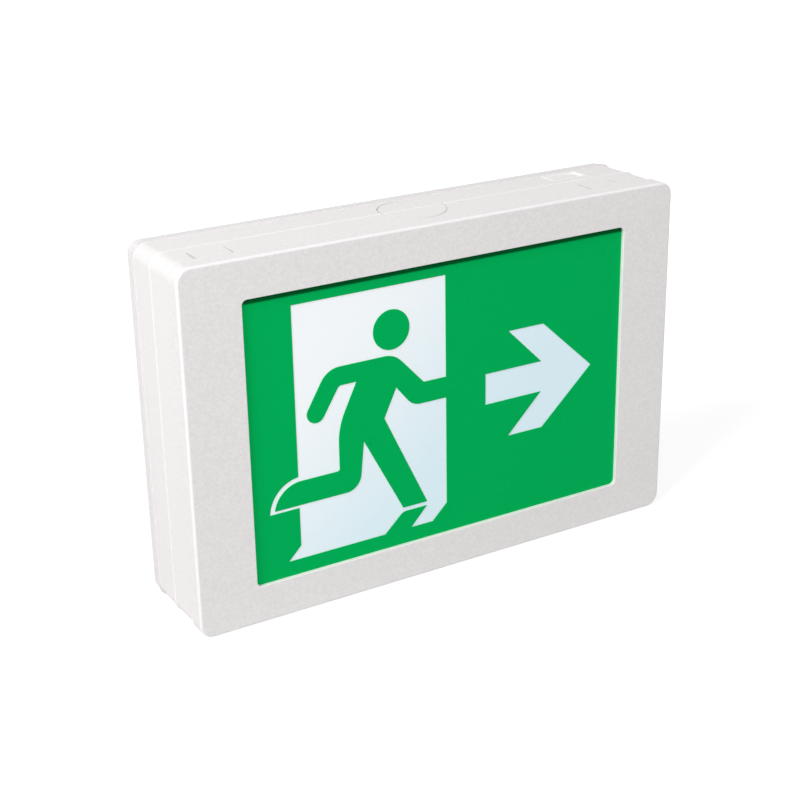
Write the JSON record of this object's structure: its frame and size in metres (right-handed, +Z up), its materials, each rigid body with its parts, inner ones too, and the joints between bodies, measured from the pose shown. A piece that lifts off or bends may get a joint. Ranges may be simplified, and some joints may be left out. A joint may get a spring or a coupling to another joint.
{
  "type": "emergency exit light",
  "caption": "Box-shaped emergency exit light with a green running-figure and arrow legend in a white plastic snap-together housing, with backup battery, charger, lamp strips and test button.",
  "frame": {"origin": "middle of the footprint, at the height the sign stands on", "axes": "+X to the right of someone reading the legend, +Y from the legend back towards the wall, +Z up"},
  "size_m": [0.3314, 0.0706, 0.2194],
  "materials": {
    "housing": "fine spark-eroded grain",
    "legend_green": "smooth printed film",
    "legend_white": "opal, smooth",
    "tray": "white, smooth",
    "circuit_board": "solder resist",
    "lamp_board": "white solder resist",
    "lamp": "phosphor",
    "black_part": "moulded",
    "ferrite": "sintered",
    "winding": "tape-wrapped",
    "can_sleeve": "shrink sleeve",
    "film_case": "moulded",
    "terminal": "moulded",
    "connector": "moulded",
    "cell_wrap": "shrink wrap",
    "strap": "moulded nylon",
    "screw_steel": "zinc plated",
    "insulation": "PVC",
    "button": "moulded",
    "lamp_lens": "tinted resin lens"
  },
  "bodies": {
    "root": {"back_plate": "housing", "battery_lead": "insulation", "battery_pack": "cell_wrap", "battery_plug": "connector", "battery_socket": "connector", "battery_strap": "strap", "board_screws": "screw_steel", "bulk_capacitors": "can_sleeve", "changeover_relay": "black_part", "charger_board": "circuit_board", "film_capacitor": "film_case", "front_cover": "housing", "fuse": "black_part", "housing_frame": "housing", "led_lead": "insulation", "led_plug": "connector", "led_socket": "connector", "legend_film": "legend_green", "legend_panel": "legend_white", "lower_led_board": "lamp_board", "lower_leds": "lamp", "pilot_lamp": "lamp_lens", "reflector_tray": "tray", "strap_screws": "screw_steel", "strip_link_lead": "insulation", "strip_screws": "screw_steel", "supply_terminal": "terminal", "switch_board": "circuit_board", "switch_board_screws": "screw_steel", "switch_lead": "insulation", "switch_plug": "connector", "switch_socket": "connector", "terminal_screws": "screw_steel", "test_switch": "black_part", "transformer_core": "ferrite", "transformer_winding": "winding", "tray_screws": "screw_steel", "upper_led_board": "lamp_board", "upper_leds": "lamp"},
    "button": {"test_button": "button"}
  },
  "joints": [
    {"name": "test_button_press", "type": "slide", "parent": "root", "child": "button", "axis": [-1, 0, 0], "range_m": [0, 0.0015], "stiffness_N_per_m": 500, "springref_m": -0.001}
  ]
}
